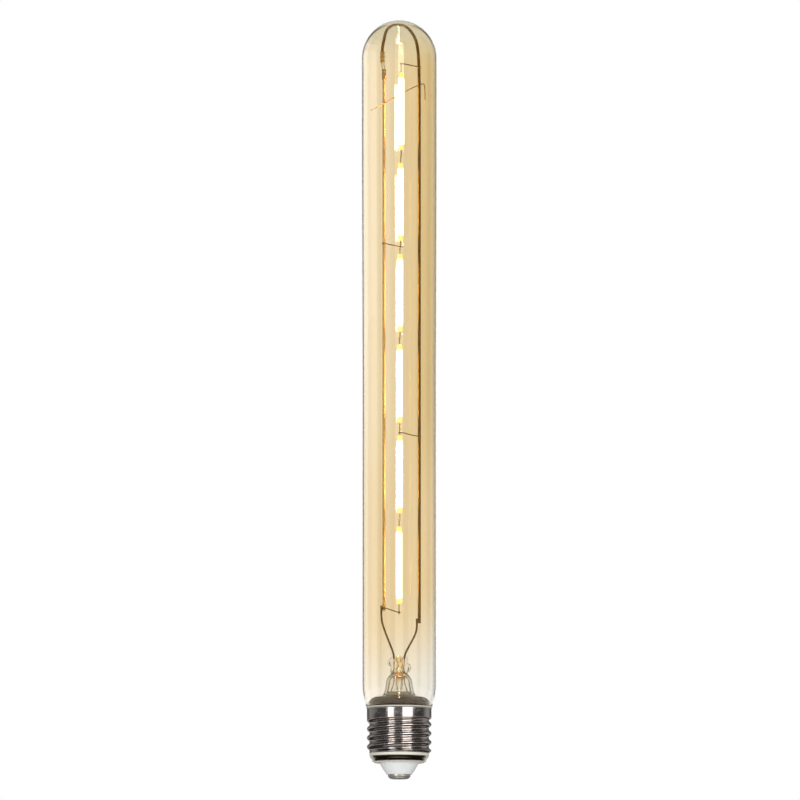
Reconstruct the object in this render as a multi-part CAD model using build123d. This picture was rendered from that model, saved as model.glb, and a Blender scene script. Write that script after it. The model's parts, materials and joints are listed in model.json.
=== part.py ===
from build123d import *
import os
from math import cos, pi, radians, sin, sqrt, tan

# Tubular LED filament bulb with an E27 screw cap, in millimetres.
# +Z runs up the bulb's axis and Z = 0 is the tip of the centre contact.
# The frame of wires lies in the XZ plane and is seen from -Y.

# Glass tube
GLASS_WALL = 0.9
TUBE_R_TOP = 15.42
TUBE_R_LOW = 15.13
DOME_Z = 292.75
TAPER_TOP_Z = 250.0
TAPER_LOW_Z = 165.0
NECK_TOP_Z = 38.5
NECK_R = 12.2
NECK_END_Z = 25.6
# The outer line of the glass from the straight tube down to the neck
SHOULDER_MID = (14.72, 33.9)
SHOULDER_LOW = (13.7, 29.72)
NECK_MID = (12.65, 28.98)
NECK_START = (NECK_R, 27.7)

# Glass foot inside the tube
FOOT_WALL = 0.9
FOOT_RIM_R = NECK_R - GLASS_WALL - 0.01
# The foot's upper line from its shoulder down to its rim, as arcs through three points each
FOOT_LINE = [
    (3.3, 42.6), (4.75, 40.9), (5.35, 38.6),
    (5.75, 36.4), (6.05, 35.0), (6.9, 33.9),
    (8.6, 33.3), (10.9, 32.7), (12.2, 31.3),
    (12.35, 30.5), (11.95, 29.7),
]
PRESS_WIDTH = 7.6
PRESS_DEPTH = 3.4
PRESS_LOW_Z = 41.2
PRESS_TOP_Z = 49.8
PRESS_SIDE_ROUND = 1.3
PRESS_TOP_ROUND = 1.2
# Two swellings of the pressed glass, by X, Z and radius
PRESS_LUMPS = [(-3.0, 47.2, 1.75), (2.8, 45.0, 2.05)]
EXHAUST_R = 1.5
EXHAUST_WALL = 0.45
EXHAUST_TIP_Z = 35.9
EXHAUST_TIP_ROUND = 1.1
EXHAUST_TOP_Z = 42.8

# Wires through the press
LEAD_D = 0.8
SEAL_D = 0.35
SEAL_LOW_Z = 41.0
SEAL_TOP_Z = 48.6
LEAD_X = 2.1

# Rods
ROD_D = 1.2
LEFT_ROD_X = -6.2
RIGHT_ROD_X = 8.15
LEFT_ROD_LOW_Z = 68.2
LEFT_ROD_TOP_Z = 286.9
RIGHT_ROD_LOW_Z = 63.1
ARCH_POINTS = [
    (8.15, 290.3), (6.95, 299.2), (3.7, 305.0), (-0.2, 306.4),
    (-4.3, 305.3), (-6.25, 302.6), (-6.0, 299.2), (-6.8, 297.3),
]
ARCH_END = (-6.8, 291.6)

# Ferrules and the glass link between the arch and the left rod
UPPER_FERRULE = {"x": -6.8, "low": 290.9, "high": 295.4, "r": 0.92}
LOWER_FERRULE = {"x": -6.2, "low": 284.0, "high": 288.1, "r": 0.88}
LINK_D = 1.0
LINK_ROUTE = [(-6.8, 291.5), (-6.8, 290.3), (-6.2, 288.6), (-6.2, 287.0)]
LINK_SLEEVE_D = 1.5
LINK_SLEEVE_ENDS = [(-6.75, 290.75), (-6.25, 288.25)]

# Filaments, from the top down
FILAMENT_COUNT = 6
FILAMENT_TOP_Z = 286.9
FILAMENT_PITCH = 36.9
FILAMENT_X = [0.8, 0.57, 0.3, 0.16, 0.2, -0.06]
COAT_LENGTH = 31.6
COAT_WIDTH = 2.2
COAT_DEPTH = 1.7
COAT_SIDE_ROUND = 0.75
COAT_END_ROUND = 0.45
STRIP_LENGTH = 28.6
STRIP_WIDTH = 1.1
STRIP_DEPTH = 0.4
PIN_WIDTH = 0.5
PIN_DEPTH = 0.3
PIN_LENGTH = 3.0
END_PIN_LENGTH = 4.0
TAB_WIDTH = 1.3
TAB_LENGTH = 1.35
TAB_COVER = 0.15
PIN_SHIFT_Y = 0.16
TIE_D = 0.45

# Centring spring
SPRING_D = 0.42

# Screw cap, by the E27 standard
THREAD_PITCH = 3.629
THREAD_CREST_R = 13.03
THREAD_ROOT_R = 12.0
THREAD_ARC_R = 1.025
COLLAR_R = 13.05
COLLAR_LOW_Z = 24.9
COLLAR_TOP_Z = 28.2
RIM_R = 13.55
RIM_TOP_Z = 29.25
SHEET = 0.35
BORE_R = 11.65
# The plain band that the thread grows out of
CURL_TOP_Z = 10.0
CURL_R = 12.04
# The axial place of a crest on the +X side
THREAD_CREST_Z = 11.2
SECTION_STEP = THREAD_PITCH / 12
SECTION_POINTS = 24

# Cap end
SHELL_END_Z = 6.5
SHELL_END_R = 9.5
SHELL_HOLE_R = 8.0
INSULATOR_TOP_R = 7.9
INSULATOR_LOW_R = 5.0
INSULATOR_LOW_Z = 1.8
FLANGE_R = 10.3
FLANGE_TOP_Z = 8.4
CONTACT_R = 4.55
CONTACT_FLAT_R = 2.6
CONTACT_EDGE_Z = 1.1
RIVET_R = 1.2
RIVET_BORE_R = 0.55
RIVET_FLOOR_Z = 5.0
RIVET_TOP_Z = 9.2

# Cement under the foot
CEMENT_IN_R = 7.0
CEMENT_LOW_Z = 23.2
CEMENT_NECK_Z = 27.6

# Driver in the cap
BOARD_R = 11.0
BOARD_LOW_Z = 20.9
BOARD_THICK = 1.2
BOARD_HOLE_R = 0.3
SLEEVE_R = 4.93
SLEEVE_WALL = 0.25
SLEEVE_TOP_Z = 35.1
OUTER_LEAD_X = 3.95
SHELL_LEAD_X = -9.6
SHELL_LEAD_D = 0.5
CONTACT_LEAD_D = 0.6
CONTACT_LEAD_LOW_Z = 5.6
CAN_R = 3.15
CAN_LENGTH = 11.0
INDUCTOR_R = 3.4
INDUCTOR_CORE_R = 2.5
INDUCTOR_LENGTH = 7.5
INDUCTOR_PLACE = (-5.9, -3.6)
FUSE_R = 1.2
FUSE_LENGTH = 7.0
# Square pieces under the board, by width, depth, height and place
RECTIFIER = (4.8, 4.0, 2.3, 3.6, 5.0)
DRIVER_CHIP = (4.9, 3.9, 1.6, 3.8, -4.8)
CERAMIC_CAPACITOR = (5.2, 2.6, 5.0, -3.6, 5.2)

# Room between pieces that only meet
GAP = 0.02


# Shapes


def revolve_outline(edges):
    """A full turn of a closed outline in the XZ plane about the bulb's axis."""
    return revolve(make_face(Curve() + edges), Axis.Z)


def at(point):
    return (point[0], 0, point[1])


def line(a, b):
    return Line(at(a), at(b))


def arc(a, b, c):
    return ThreePointArc(at(a), at(b), at(c))


def lines(points):
    return [line(a, b) for a, b in zip(points, points[1:])]


def arcs(points):
    """Arcs through three points each, with a straight end where one point is left."""
    found = []
    for i in range(0, len(points) - 2, 2):
        found.append(arc(points[i], points[i + 1], points[i + 2]))
    if len(points) % 2 == 0:
        found.append(line(points[-2], points[-1]))
    return found


def ring(r_out, r_in, low, high):
    outer = cylinder(r_out, low, high)
    return outer - cylinder(r_in, low - 1, high + 1)


def cylinder(r, low, high, x=0.0, y=0.0):
    return Pos(x, y, low) * Cylinder(r, high - low, align=(Align.CENTER, Align.CENTER, Align.MIN))


def block(width, depth, low, high, x=0.0, y=0.0):
    align = (Align.CENTER, Align.CENTER, Align.MIN)
    return Pos(x, y, low) * Box(width, depth, high - low, align=align)


def bend_radii(points, largest):
    """For each corner 0.45 of its shorter run over the tangent of half its turn."""
    radii = []
    for a, b, c in zip(points, points[1:], points[2:]):
        before, after = Vector(b) - Vector(a), Vector(c) - Vector(b)
        half_turn = radians(before.get_angle(after)) / 2
        radii.append(min(largest, 0.45 * min(before.length, after.length) / tan(half_turn)))
    return radii


def bent_wire(points, diameter, largest=12.0):
    """A round wire along straight runs joined by arcs."""
    if len(points) == 2:
        path = Line(*points)
    else:
        path = FilletPolyline(*points, radius=bend_radii(points, largest))
    start = Plane(origin=path @ 0, z_dir=path % 0)
    wire = sweep(start * Circle(diameter / 2), path=path)
    wanted = pi * diameter**2 / 4 * path.length
    assert abs(wire.volume - wanted) < 0.01 * wanted, "a wire's volume is off"
    return wire


def in_frame(points):
    """Points of X and Z in the plane of the wire frame."""
    return [(x, 0, z) for x, z in points]


# Glass


def envelope_line(wall):
    """The glass wall's outline at a depth inside its outer face, from the tip to the neck's end."""
    tip = (0, DOME_Z + TUBE_R_TOP - wall)
    side = (TUBE_R_TOP - wall, DOME_Z)
    angle = radians(45)
    dome_mid = ((TUBE_R_TOP - wall) * sin(angle), DOME_Z + (TUBE_R_TOP - wall) * cos(angle))
    straight = [side, (TUBE_R_TOP - wall, TAPER_TOP_Z), (TUBE_R_LOW - wall, TAPER_LOW_Z),
                (TUBE_R_LOW - wall, NECK_TOP_Z)]
    mid = (SHOULDER_MID[0] - wall, SHOULDER_MID[1] + wall * 0.1)
    low = (SHOULDER_LOW[0] - wall, SHOULDER_LOW[1] + wall * 0.5)
    turn = (NECK_MID[0] - wall * 0.85, NECK_MID[1] + wall * 0.35)
    start = (NECK_START[0] - wall, NECK_START[1])
    return [arc(tip, dome_mid, side), *lines(straight), arc(straight[-1], mid, low),
            arc(low, turn, start), line(start, (start[0], NECK_END_Z))], tip, (start[0], NECK_END_Z)


def glass_envelope():
    outer, outer_tip, outer_end = envelope_line(0)
    inner, inner_tip, inner_end = envelope_line(GLASS_WALL)
    return revolve_outline([*outer, *inner, line(outer_tip, inner_tip), line(outer_end, inner_end)])


def foot_inside(depth):
    """The foot's upper line moved into the glass by a depth, point by point along its normal."""
    moved = []
    for i, point in enumerate(FOOT_LINE):
        a = FOOT_LINE[max(0, i - 1)]
        b = FOOT_LINE[min(len(FOOT_LINE) - 1, i + 1)]
        dx, dz = b[0] - a[0], b[1] - a[1]
        length = sqrt(dx * dx + dz * dz)
        moved.append((point[0] + dz / length * depth, point[1] - dx / length * depth))
    return moved


def stem_flare(envelope):
    """The foot: a flared bell under a flattened press, with ways for the wires and the tube."""
    under = foot_inside(FOOT_WALL)
    rim_out = [FOOT_LINE[-1], (FOOT_RIM_R, 27.6), (FOOT_RIM_R, NECK_END_Z)]
    rim_in = [under[-1], (FOOT_RIM_R - FOOT_WALL, 27.6), (FOOT_RIM_R - FOOT_WALL, NECK_END_Z)]
    crown = [FOOT_LINE[0], (0, 43.4), (0, 41.9), under[0]]
    outline = [*arcs(FOOT_LINE), *arcs(under), *lines(rim_out), *lines(rim_in),
               line(rim_out[-1], rim_in[-1]), *lines(crown)]
    bell = revolve_outline(outline)
    press = block(PRESS_WIDTH, PRESS_DEPTH, PRESS_LOW_Z, PRESS_TOP_Z)
    press = fillet(press.edges().filter_by(Axis.Z), PRESS_SIDE_ROUND)
    press = fillet(press.edges().group_by(Axis.Z)[-1], PRESS_TOP_ROUND)
    for x, z, radius in PRESS_LUMPS:
        press += Pos(x, 0, z) * Sphere(radius)
    hollow = cylinder(EXHAUST_R + GAP, 35.0, EXHAUST_TOP_Z)
    body = bell + press - hollow
    for side in (-1, 1):
        body -= cylinder(SEAL_D / 2, 38.0, SEAL_TOP_Z, side * LEAD_X)
        body -= cylinder(LEAD_D / 2, SEAL_TOP_Z, PRESS_TOP_Z + 3, side * LEAD_X)
    return body - envelope


def stem_exhaust_tube():
    """The pumping tube, with its end melted shut and rounded."""
    top = EXHAUST_TOP_Z - GAP
    tube = cylinder(EXHAUST_R, EXHAUST_TIP_Z, top)
    tube = fillet(tube.edges().group_by(Axis.Z)[0], EXHAUST_TIP_ROUND)
    return tube - cylinder(EXHAUST_R - EXHAUST_WALL, EXHAUST_TIP_Z + 1.6, top + 1)


# Wires and rods


def lead_wires():
    """The bent wires from the press to the outer sides of the rods' low ends."""
    left_x = LEFT_ROD_X - (ROD_D + LEAD_D) / 2 - GAP
    right_x = RIGHT_ROD_X - (ROD_D + LEAD_D) / 2 - GAP
    left = [(-LEAD_X, SEAL_TOP_Z), (-LEAD_X, 50.4), (-6.7, 62.2), (left_x, 65.6), (left_x, 70.3)]
    right = [(LEAD_X, SEAL_TOP_Z), (LEAD_X, 50.2), (6.5, 58.4), (right_x, 61.0), (right_x, 65.0)]
    return {
        "left_lead_wire": bent_wire(in_frame(left), LEAD_D),
        "right_lead_wire": bent_wire(in_frame(right), LEAD_D),
    }


def seal_and_outer_leads():
    """The copper-clad wires sealed in the press, and the ends that go down to the board."""
    made = {}
    board_top = BOARD_LOW_Z + BOARD_THICK
    for name, side in (("left", -1), ("right", 1)):
        made[f"{name}_seal_wire"] = cylinder(SEAL_D / 2, SEAL_LOW_Z, SEAL_TOP_Z, side * LEAD_X)
        route = [(side * LEAD_X, SEAL_LOW_Z), (side * LEAD_X, 38.9), (side * 3.3, 35.6),
                 (side * OUTER_LEAD_X, 33.0), (side * OUTER_LEAD_X, board_top - 1.6)]
        made[f"{name}_outer_lead"] = bent_wire(in_frame(route), SEAL_D)
    return made


def support_rods():
    left = cylinder(ROD_D / 2, LEFT_ROD_LOW_Z, LEFT_ROD_TOP_Z, LEFT_ROD_X)
    route = [(RIGHT_ROD_X, RIGHT_ROD_LOW_Z), *ARCH_POINTS, ARCH_END]
    return {"left_support_rod": left, "right_support_rod": bent_wire(in_frame(route), ROD_D)}


def ferrules_and_link():
    """Two crimped sleeves and the slanted glass link that keeps their rods apart."""
    link = bent_wire(in_frame(LINK_ROUTE), LINK_D, largest=1.5)
    made = {}
    for name, size in (("upper_ferrule", UPPER_FERRULE), ("lower_ferrule", LOWER_FERRULE)):
        tube = cylinder(size["r"], size["low"], size["high"], size["x"])
        tube = fillet(tube.edges(), 0.2)
        made[name] = tube - cylinder(ROD_D / 2 + GAP / 2, size["low"] - 1, size["high"] + 1, size["x"])
    slant = bent_wire(in_frame(LINK_SLEEVE_ENDS), LINK_SLEEVE_D)
    made["insulating_link"] = link + slant
    return made


# Filaments


def rounded_coat(x, low, high):
    coat = block(COAT_WIDTH, COAT_DEPTH, low, high, x)
    coat = fillet(coat.edges().filter_by(Axis.Z), COAT_SIDE_ROUND)
    return fillet(coat.edges().group_by(Axis.Z)[0] + coat.edges().group_by(Axis.Z)[-1], COAT_END_ROUND)


def clip(x, coat_end, direction, pin_length):
    """A flat tab sunk in the coat with a narrow pin out of the end, as one stamping."""
    y = -PIN_SHIFT_Y * direction
    cover = coat_end - direction * TAB_COVER
    tab_ends = sorted((coat_end - direction * TAB_LENGTH, cover))
    pin_ends = sorted((cover, coat_end + direction * pin_length))
    tab = block(TAB_WIDTH, PIN_DEPTH, *tab_ends, x, y)
    return tab + block(PIN_WIDTH, PIN_DEPTH, *pin_ends, x, y)


def filaments():
    """The column of filaments. Neighbours' pins stand face to face, where they are welded."""
    made = {}
    for i in range(FILAMENT_COUNT):
        x = FILAMENT_X[i]
        top = FILAMENT_TOP_Z - i * FILAMENT_PITCH
        low = top - COAT_LENGTH
        middle = (top + low) / 2
        strip = block(STRIP_WIDTH, STRIP_DEPTH, middle - STRIP_LENGTH / 2, middle + STRIP_LENGTH / 2, x)
        top_pin = END_PIN_LENGTH if i == 0 else PIN_LENGTH
        low_pin = END_PIN_LENGTH if i == FILAMENT_COUNT - 1 else PIN_LENGTH
        top_clip = clip(x, top, 1, top_pin)
        low_clip = clip(x, low, -1, low_pin)
        name = f"filament_{i + 1}"
        made[f"{name}_strip"] = strip
        made[f"{name}_phosphor"] = rounded_coat(x, low, top) - strip - top_clip - low_clip
        made[f"{name}_top_clip"] = top_clip
        made[f"{name}_bottom_clip"] = low_clip
    return made


def tie_wires():
    """The wires from the rods to the column. Each passes in front of its rod and of the pins."""
    rod_y = -(ROD_D + TIE_D) / 2 - GAP
    pin_y = -PIN_SHIFT_Y - (PIN_DEPTH + TIE_D) / 2 - GAP
    top = [(8.9, rod_y, 288.9), (4.5, rod_y, 289.75), (1.9, pin_y, 290.35), (0.2, pin_y, 290.6)]
    upper_left = [(-7.0, rod_y - 0.03, 217.3), (-5.4, rod_y, 217.15), (1.5, pin_y, 215.75)]
    lower_right = [(8.9, rod_y, 138.7), (4.6, rod_y, 139.5), (1.6, pin_y, 140.35), (-0.3, pin_y, 140.5)]
    bottom = [(-7.0, rod_y, 69.3), (-5.4, rod_y, 69.2), (-0.4, pin_y, 67.5), (0.7, pin_y, 67.45)]
    return {
        "top_tie_wire": bent_wire(top, TIE_D),
        "upper_left_tie_wire": bent_wire(upper_left, TIE_D),
        "lower_right_tie_wire": bent_wire(lower_right, TIE_D),
        "bottom_tie_wire": bent_wire(bottom, TIE_D),
    }


def centring_spring():
    """A fine wire across the frame, in front of one rod and behind the other."""
    beside_rod = (ROD_D + SPRING_D) / 2 + GAP
    route = [(-10.9, -9.0, 270.6), (-8.6, -4.6, 272.4), (LEFT_ROD_X, -beside_rod - 0.14, 274.2),
             (-2.4, 1.35, 276.5), (4.0, 1.45, 280.2),
             (RIGHT_ROD_X, beside_rod, 281.9), (9.9, 2.4, 282.7), (10.6, 6.0, 281.6),
             (10.75, 9.1, 276.6)]
    return bent_wire(route, SPRING_D)


# Screw cap


def knuckle(offset):
    """The thread's radius at an axial distance from its crest: two arcs of one size."""
    away = abs((offset + THREAD_PITCH / 2) % THREAD_PITCH - THREAD_PITCH / 2)
    if away < THREAD_PITCH / 4:
        drop = THREAD_ARC_R - sqrt(THREAD_ARC_R**2 - away**2)
    else:
        depth = THREAD_CREST_R - THREAD_ROOT_R
        back = THREAD_PITCH / 2 - away
        drop = depth - (THREAD_ARC_R - sqrt(THREAD_ARC_R**2 - back**2))
    return THREAD_CREST_R - drop


def smooth_step(value, low, high):
    share = min(1.0, max(0.0, (value - low) / (high - low)))
    return share * share * (3 - 2 * share)


def thread_radius(angle, z):
    """A right-hand thread that grows out of the lower shell and runs into the collar."""
    crest = THREAD_CREST_Z + THREAD_PITCH * angle / (2 * pi)
    radius = knuckle(z - crest)
    into_collar = smooth_step(z, COLLAR_LOW_Z - 1.3, COLLAR_LOW_Z - 0.1)
    out_of_shell = smooth_step(z, CURL_TOP_Z + 0.1, CURL_TOP_Z + 1.5)
    radius = radius + (THREAD_CREST_R - radius) * into_collar
    return THREAD_ROOT_R + (radius - THREAD_ROOT_R) * out_of_shell


def thread_section(z):
    step = 2 * pi / SECTION_POINTS
    points = []
    for i in range(SECTION_POINTS):
        radius = thread_radius(i * step, z)
        points.append((radius * cos(i * step), radius * sin(i * step), z))
    even = [i / SECTION_POINTS for i in range(SECTION_POINTS + 1)]
    return Wire([Edge.make_spline(points, periodic=True, parameters=even)])


def cap_shell():
    """The formed shell. Thread, collar and curl overlap a little as solids, and one cavity opens them."""
    low, high = CURL_TOP_Z - 0.3, COLLAR_LOW_Z + 0.4
    count = round((high - low) / SECTION_STEP)
    levels = [low + (high - low) * i / count for i in range(count + 1)]
    threaded = Solid.make_loft([thread_section(z) for z in levels])
    collar = revolve_outline([
        *lines([(0, RIM_TOP_Z), (0, COLLAR_LOW_Z), (COLLAR_R, COLLAR_LOW_Z), (COLLAR_R, COLLAR_TOP_Z)]),
        arc((COLLAR_R, COLLAR_TOP_Z), (13.2, 28.85), (RIM_R, RIM_TOP_Z)),
        line((RIM_R, RIM_TOP_Z), (0, RIM_TOP_Z)),
    ])
    curl = revolve_outline([
        *lines([(0, SHELL_END_Z), (0, CURL_TOP_Z), (CURL_R, CURL_TOP_Z), (CURL_R, 9.5)]),
        arc((CURL_R, 9.5), (11.5, 8.4), (11.05, 7.9)),
        arc((11.05, 7.9), (10.6, 6.95), (SHELL_END_R, SHELL_END_Z)),
        line((SHELL_END_R, SHELL_END_Z), (0, SHELL_END_Z)),
    ])
    collar_in = COLLAR_R - SHEET
    cavity = revolve_outline(lines([
        (0, RIM_TOP_Z + 1), (0, SHELL_END_Z - 1), (SHELL_HOLE_R, SHELL_END_Z - 1),
        (SHELL_HOLE_R, SHELL_END_Z + SHEET),
        (SHELL_END_R, SHELL_END_Z + SHEET + 0.1), (10.7, 8.1), (BORE_R, 9.5), (BORE_R, 25.2),
        (collar_in, 25.9), (collar_in, COLLAR_TOP_Z), (RIM_R - SHEET, RIM_TOP_Z),
        (RIM_R - SHEET, RIM_TOP_Z + 1), (0, RIM_TOP_Z + 1),
    ]))
    return threaded + collar + curl - cavity


def cap_insulator():
    """The white cone that carries the contact, with its flange held inside the shell."""
    hole_r = RIVET_R + GAP
    seat_z = SHELL_END_Z + SHEET + 0.15
    return revolve_outline([
        *lines([(hole_r, FLANGE_TOP_Z), (hole_r, INSULATOR_LOW_Z), (INSULATOR_LOW_R, INSULATOR_LOW_Z)]),
        arc((INSULATOR_LOW_R, INSULATOR_LOW_Z), (6.75, 4.3), (INSULATOR_TOP_R, SHELL_END_Z)),
        *lines([(INSULATOR_TOP_R, SHELL_END_Z), (INSULATOR_TOP_R, seat_z), (9.3, seat_z),
                (FLANGE_R, 8.1), (FLANGE_R, FLANGE_TOP_Z), (hole_r, FLANGE_TOP_Z)]),
    ])


def centre_contact():
    """The contact button, with the hollow rivet that holds it to the cone."""
    top = INSULATOR_LOW_Z - GAP
    return revolve_outline([
        *lines([(0, RIVET_FLOOR_Z), (0, 0), (CONTACT_FLAT_R, 0)]),
        arc((CONTACT_FLAT_R, 0), (4.0, 0.4), (CONTACT_R, CONTACT_EDGE_Z)),
        *lines([(CONTACT_R, CONTACT_EDGE_Z), (CONTACT_R, top), (RIVET_R, top), (RIVET_R, RIVET_TOP_Z),
                (RIVET_BORE_R, RIVET_TOP_Z), (RIVET_BORE_R, RIVET_FLOOR_Z), (0, RIVET_FLOOR_Z)]),
    ])


def cap_cement(foot):
    """The cement between the shell and the neck, welling up under the foot."""
    within = foot_inside(FOOT_WALL / 2)[4:]
    foot_in = FOOT_RIM_R - FOOT_WALL - GAP
    neck_out = NECK_R + GAP
    low_z = NECK_END_Z - GAP
    collar_in = COLLAR_R - SHEET - GAP
    body = revolve_outline([
        *lines([(CEMENT_IN_R, CEMENT_LOW_Z), (CEMENT_IN_R, within[1][1]), within[2]]),
        *arcs(within[2:]),
        *lines([within[-1], (foot_in, CEMENT_NECK_Z), (foot_in, low_z), (neck_out, low_z),
                (neck_out, CEMENT_NECK_Z), (collar_in, CEMENT_NECK_Z), (collar_in, 25.95),
                (BORE_R - GAP, 25.2), (BORE_R - GAP, CEMENT_LOW_Z), (CEMENT_IN_R, CEMENT_LOW_Z)]),
    ])
    return body - foot


# Driver


def driver_board():
    board = cylinder(BOARD_R, BOARD_LOW_Z, BOARD_LOW_Z + BOARD_THICK)
    for x in (-OUTER_LEAD_X, OUTER_LEAD_X, SHELL_LEAD_X):
        board -= cylinder(BOARD_HOLE_R, BOARD_LOW_Z - 1, BOARD_LOW_Z + BOARD_THICK + 1, x)
    return board


def under_board(size):
    """A square piece that hangs under the board."""
    width, depth, height, x, y = size
    under = BOARD_LOW_Z - GAP
    return block(width, depth, under - height, under, x, y)


def inductor():
    """A drum core with its winding groove."""
    under = BOARD_LOW_Z - GAP
    low = under - INDUCTOR_LENGTH
    groove = ring(INDUCTOR_R + 1.6, INDUCTOR_CORE_R, low + 1.2, under - 1.2)
    return Pos(*INDUCTOR_PLACE, 0) * (cylinder(INDUCTOR_R, low, under) - groove)


def driver_pieces():
    under = BOARD_LOW_Z - GAP
    top = BOARD_LOW_Z + BOARD_THICK + GAP
    fuse_low = under - FUSE_LENGTH
    shell_route = [(SHELL_LEAD_X, 22.3), (SHELL_LEAD_X, 15.6), (-11.1, 13.9), (-11.3, 11.2)]
    return {
        "driver_board": driver_board(),
        "insulating_sleeve": ring(SLEEVE_R, SLEEVE_R - SLEEVE_WALL, top, SLEEVE_TOP_Z),
        "electrolytic_capacitor": fillet(cylinder(CAN_R, top, top + CAN_LENGTH).edges(), 0.35),
        "inductor": inductor(),
        "bridge_rectifier": under_board(RECTIFIER),
        "driver_chip": under_board(DRIVER_CHIP),
        "ceramic_capacitor": fillet(under_board(CERAMIC_CAPACITOR).edges(), 0.6),
        "fuse_resistor": fillet(cylinder(FUSE_R, fuse_low, under).edges(), 0.4),
        "contact_lead_wire": cylinder(CONTACT_LEAD_D / 2, CONTACT_LEAD_LOW_Z, fuse_low - GAP),
        "shell_lead_wire": bent_wire(in_frame(shell_route), SHELL_LEAD_D, largest=2.0),
    }


# Build


os.makedirs("parts", exist_ok=True)
envelope = glass_envelope()
foot = stem_flare(envelope)
nodes = {
    "glass_envelope": envelope,
    "stem_flare": foot,
    "stem_exhaust_tube": stem_exhaust_tube(),
    **lead_wires(),
    **seal_and_outer_leads(),
    **support_rods(),
    **ferrules_and_link(),
    **filaments(),
    **tie_wires(),
    "centring_spring_wire": centring_spring(),
    "cap_shell": cap_shell(),
    "cap_insulator": cap_insulator(),
    "centre_contact": centre_contact(),
    "cap_cement": cap_cement(foot),
    **driver_pieces(),
}
for name, shape in nodes.items():
    export_step(shape, f"parts/{name}.step")
print(len(nodes), "nodes")
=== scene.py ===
import cmath
import json
from math import cos, pi, radians, sin

import bmesh
import bpy
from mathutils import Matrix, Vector


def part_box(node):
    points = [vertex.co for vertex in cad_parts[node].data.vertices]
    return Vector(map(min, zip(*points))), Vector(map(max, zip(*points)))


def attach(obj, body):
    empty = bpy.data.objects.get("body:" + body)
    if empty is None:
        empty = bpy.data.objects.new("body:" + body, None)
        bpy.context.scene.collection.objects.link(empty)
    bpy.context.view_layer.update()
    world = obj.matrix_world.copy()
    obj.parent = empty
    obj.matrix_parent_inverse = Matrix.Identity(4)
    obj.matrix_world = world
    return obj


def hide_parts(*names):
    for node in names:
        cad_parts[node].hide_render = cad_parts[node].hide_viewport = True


# A lit tubular bulb with six LED filaments in amber glass, over an E27 screw cap.
# Outlines and places are in millimetres, and MM turns them into Blender's metres.
# Lamps, the room and the finishes' own heights are in metres, and colours are linear.

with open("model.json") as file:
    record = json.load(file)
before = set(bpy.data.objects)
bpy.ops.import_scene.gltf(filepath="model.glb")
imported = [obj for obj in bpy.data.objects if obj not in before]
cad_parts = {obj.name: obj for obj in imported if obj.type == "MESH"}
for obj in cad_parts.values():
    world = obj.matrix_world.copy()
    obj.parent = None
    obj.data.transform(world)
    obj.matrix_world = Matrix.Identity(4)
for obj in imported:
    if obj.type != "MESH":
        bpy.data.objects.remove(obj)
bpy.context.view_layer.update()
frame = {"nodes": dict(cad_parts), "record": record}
MM = 0.001

# Photograph
IMAGE_SIZE = 800
TOP_PIXEL = 19.7
LOW_PIXEL = 778.5
AXIS_PIXEL = 399.2
CAMERA_ELEVATION = radians(-4.5)
CAMERA_DISTANCE = 8.0
CAMERA_SENSOR = 36.0
CAMERA_REACH = 40.0

# Room. Gloss sees a brightness by the angle round the bulb, which is 0 in front and 180 behind.
FLOOR_Z = -0.25
FLOOR_SIZE = 8.0
FLOOR_COLOUR = (0.85, 0.85, 0.84)
FLOOR_TO_GLOSS = (0.06, 0.05, 0.045)
FLOOR_LIFT = 0.8
FLOOR_RING = (0.06, 0.16, 0.7, 1.8)
GLOSS_BANDS = [
    (-180, 0.12), (-145, 0.12), (-130, 0.26), (-110, 0.2), (-95, 0.06), (-52, 0.05), (-38, 0.35),
    (-22, 0.35), (-10, 0.1), (8, 0.08), (15, 0.35), (46, 0.35), (60, 0.06), (95, 0.06), (110, 0.26),
    (130, 0.3), (145, 0.12), (180, 0.12),
]
GLOSS_FADE = (0.42, 0.56)
GLOSS_OVERHEAD = 0.25
SOFT_LIGHT = 0.5
FLAG_COUNT = 8
FLAG_DEPTH = 0.85
FLAG_EDGE = (12.5, 17.5)
FLAG_TOP = (0.8, 0.6)

# Fill lamps: name, place, target, size and radiance
FILLS = [
    ("top_fill", (0.3, -0.9, 1.6), (0, 0, 0.15), (0.9, 0.9), 2.2),
    ("right_fill", (1.3, -0.8, 0.4), (0, 0, 0.1), (0.7, 0.9), 0.6),
    ("low_fill", (-0.25, -1.0, -0.12), (0, 0, 0.03), (0.6, 0.5), 3.9),
]

# Soft boxes for the cap: name, angle round the bulb, width and radiance
CAP_BOXES = [("left_box", -30.0, 0.56, 1.7), ("right_box", 30.5, 0.97, 1.8)]
BOX_DISTANCE = 1.5
BOX_HEIGHT = 1.4
BOX_CENTRE_Z = 0.02

# Lights for the glass: radiances of a stack of panels on the left, from the lowest up, then
# single panels and strips as name, place, target, size, radiance and colour
PANEL_STACK = (2.0, 2.0, 2.5, 1.6, 0.6)
PANEL_SIZE = (1.7, 0.34)
PANEL_PLACE = (-1.19, 0.47)
PANEL_LOW_Z = -0.4
WHITE = (1, 1, 1)
PALE_YELLOW = (1, 1, 0.62)
GLASS_STRIPS = [
    ("left_panel_end", (-1.19, -0.5, 0.4), (0, -0.5, 0.4), (0.24, 1.6), 1.1, WHITE),
    ("back_panel", (0, 1.5, 0.35), (0, 0, 0.35), (1.8, 1.0), 1.2, WHITE),
    ("front_panel", (-0.02, -1.2, 0.32), (-0.02, 0, 0.32), (0.46, 1.25), 1.1, WHITE),
    ("warm_strip", (0.094, -1, 0.805), (0.094, 0, 0.805), (0.318, 0.85), 6.0, PALE_YELLOW),
    ("warm_top", (-0.054, -0.5, 1.88), (-0.054, 0, 1.88), (0.16, 2.24), 7.0, PALE_YELLOW),
]

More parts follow.
